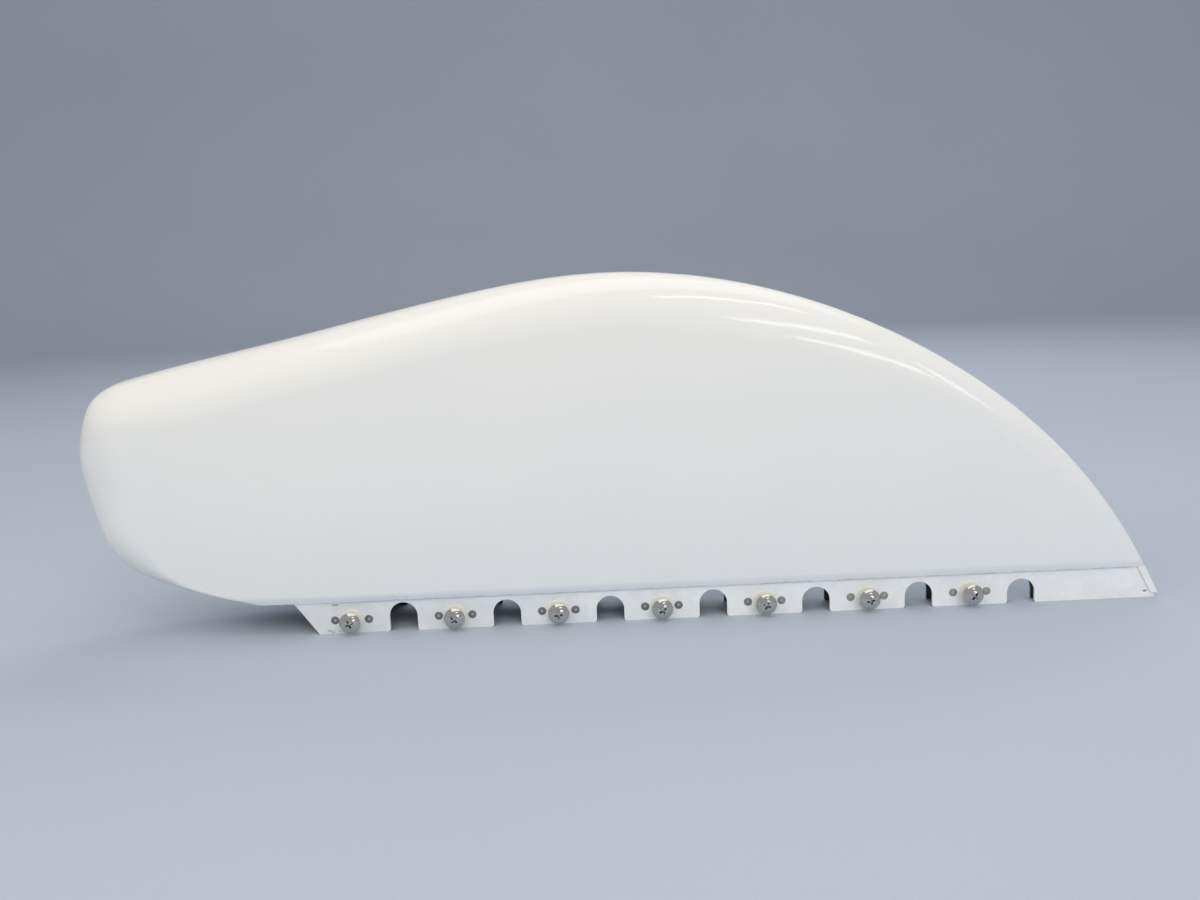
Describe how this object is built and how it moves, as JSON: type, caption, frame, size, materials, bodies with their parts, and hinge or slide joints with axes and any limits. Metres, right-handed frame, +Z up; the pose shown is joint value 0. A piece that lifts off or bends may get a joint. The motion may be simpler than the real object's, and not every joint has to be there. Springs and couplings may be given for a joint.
{
  "type": "rudder cap",
  "caption": "Hollow moulded aircraft rudder cap with a horn at the front, a stepped flange cut into tabs, and screws in nutplates.",
  "frame": {"origin": "on the surface it stands on, below the middle of its length and on its centre plane", "axes": "+X aft, from the blunt nose to the trailing edge; +Y to starboard; +Z up, from the flange to the crest"},
  "size_m": [0.5648, 0.0646, 0.1793],
  "materials": {
    "shell_gloss": "white gloss paint over a moulded glass fibre shell",
    "screw_metal": "bright plated steel, slightly worn",
    "washer_plastic": "cream, smooth, slightly translucent look",
    "nutplate_steel": "dull plated steel",
    "rivet_metal": "bare metal, flush and dull"
  },
  "bodies": {
    "root": {"shell": "shell_gloss", "screw_port_1": "screw_metal", "screw_port_2": "screw_metal", "screw_port_3": "screw_metal", "screw_port_4": "screw_metal", "screw_port_5": "screw_metal", "screw_port_6": "screw_metal", "screw_port_7": "screw_metal", "washer_port_1": "washer_plastic", "washer_port_2": "washer_plastic", "washer_port_3": "washer_plastic", "washer_port_4": "washer_plastic", "washer_port_5": "washer_plastic", "washer_port_6": "washer_plastic", "washer_port_7": "washer_plastic", "nutplate_port_1": "nutplate_steel", "nutplate_port_2": "nutplate_steel", "nutplate_port_3": "nutplate_steel", "nutplate_port_4": "nutplate_steel", "nutplate_port_5": "nutplate_steel", "nutplate_port_6": "nutplate_steel", "nutplate_port_7": "nutplate_steel", "rivets_port_1": "rivet_metal", "rivets_port_2": "rivet_metal", "rivets_port_3": "rivet_metal", "rivets_port_4": "rivet_metal", "rivets_port_5": "rivet_metal", "rivets_port_6": "rivet_metal", "rivets_port_7": "rivet_metal", "screw_starboard_1": "screw_metal", "screw_starboard_2": "screw_metal", "screw_starboard_3": "screw_metal", "screw_starboard_4": "screw_metal", "screw_starboard_5": "screw_metal", "screw_starboard_6": "screw_metal", "screw_starboard_7": "screw_metal", "washer_starboard_1": "washer_plastic", "washer_starboard_2": "washer_plastic", "washer_starboard_3": "washer_plastic", "washer_starboard_4": "washer_plastic", "washer_starboard_5": "washer_plastic", "washer_starboard_6": "washer_plastic", "washer_starboard_7": "washer_plastic", "nutplate_starboard_1": "nutplate_steel", "nutplate_starboard_2": "nutplate_steel", "nutplate_starboard_3": "nutplate_steel", "nutplate_starboard_4": "nutplate_steel", "nutplate_starboard_5": "nutplate_steel", "nutplate_starboard_6": "nutplate_steel", "nutplate_starboard_7": "nutplate_steel", "rivets_starboard_1": "rivet_metal", "rivets_starboard_2": "rivet_metal", "rivets_starboard_3": "rivet_metal", "rivets_starboard_4": "rivet_metal", "rivets_starboard_5": "rivet_metal", "rivets_starboard_6": "rivet_metal", "rivets_starboard_7": "rivet_metal"}
  },
  "joints": []
}
